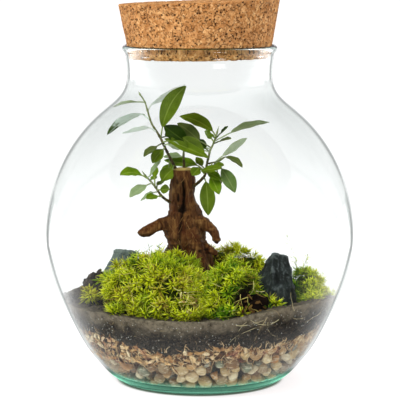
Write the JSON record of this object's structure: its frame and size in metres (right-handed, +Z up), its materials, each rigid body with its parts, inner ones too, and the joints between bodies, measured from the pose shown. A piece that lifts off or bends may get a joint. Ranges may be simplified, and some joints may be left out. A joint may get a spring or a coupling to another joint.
{
  "type": "glass plant terrarium",
  "caption": "Round clear glass terrarium with a tapered cork stopper, holding pebbles, bark, soil, moss, slate stones and a small ficus with a swollen trunk.",
  "frame": {"origin": "centre of the underside of the jar's base, on the surface it stands on", "axes": "+Z up along the jar's axis, -Y towards the front of the planting, +X to its right"},
  "size_m": [0.2592, 0.2592, 0.321],
  "materials": {
    "clear_glass": "clear blown glass, smooth, slightly green where it is thick at the base",
    "cork": "pressed cork granules, matt, with dark and pale specks",
    "pebbles": "rounded gravel in beige, grey, orange and brown, slightly damp",
    "bark_chips": "loose bark chips and coco fibre, matt",
    "soil": "dark damp potting soil with pale specks, matt",
    "moss": "soft living moss, bright yellow-green tips and dark green depths",
    "slate": "split slate, dark blue-grey, matt with fine layers",
    "trunk_bark": "smooth wrinkled reddish-brown bark with pale scars",
    "stem": "thin woody stems, brown to green",
    "leaf": "waxy green leaves, glossy above and paler below"
  },
  "bodies": {
    "root": {"bark_layer": "bark_chips", "cork_stopper": "cork", "ficus_stem_left": "stem", "ficus_stem_lower": "stem", "ficus_stem_middle": "stem", "ficus_stem_right": "stem", "ficus_stem_twig": "stem", "ficus_trunk": "trunk_bark", "glass_jar": "clear_glass", "leaf_left_1": "leaf", "leaf_left_10": "leaf", "leaf_left_11": "leaf", "leaf_left_2": "leaf", "leaf_left_3": "leaf", "leaf_left_4": "leaf", "leaf_left_5": "leaf", "leaf_left_6": "leaf", "leaf_left_7": "leaf", "leaf_left_8": "leaf", "leaf_left_9": "leaf", "leaf_lower_1": "leaf", "leaf_lower_2": "leaf", "leaf_lower_3": "leaf", "leaf_lower_4": "leaf", "leaf_lower_5": "leaf", "leaf_lower_6": "leaf", "leaf_lower_7": "leaf", "leaf_lower_8": "leaf", "leaf_lower_9": "leaf", "leaf_middle_1": "leaf", "leaf_middle_2": "leaf", "leaf_right_1": "leaf", "leaf_right_10": "leaf", "leaf_right_11": "leaf", "leaf_right_12": "leaf", "leaf_right_13": "leaf", "leaf_right_2": "leaf", "leaf_right_3": "leaf", "leaf_right_4": "leaf", "leaf_right_5": "leaf", "leaf_right_6": "leaf", "leaf_right_7": "leaf", "leaf_right_8": "leaf", "leaf_right_9": "leaf", "leaf_twig_1": "leaf", "leaf_twig_2": "leaf", "leaf_twig_3": "leaf", "leaf_twig_4": "leaf", "leaf_twig_5": "leaf", "leaf_twig_6": "leaf", "moss_back": "moss", "moss_far_right": "moss", "moss_mound_left": "moss", "moss_mound_right": "moss", "moss_tuft_left": "moss", "pebble_layer": "pebbles", "slate_rock_left": "slate", "slate_rock_right": "slate", "soil_bed": "soil"}
  },
  "joints": []
}
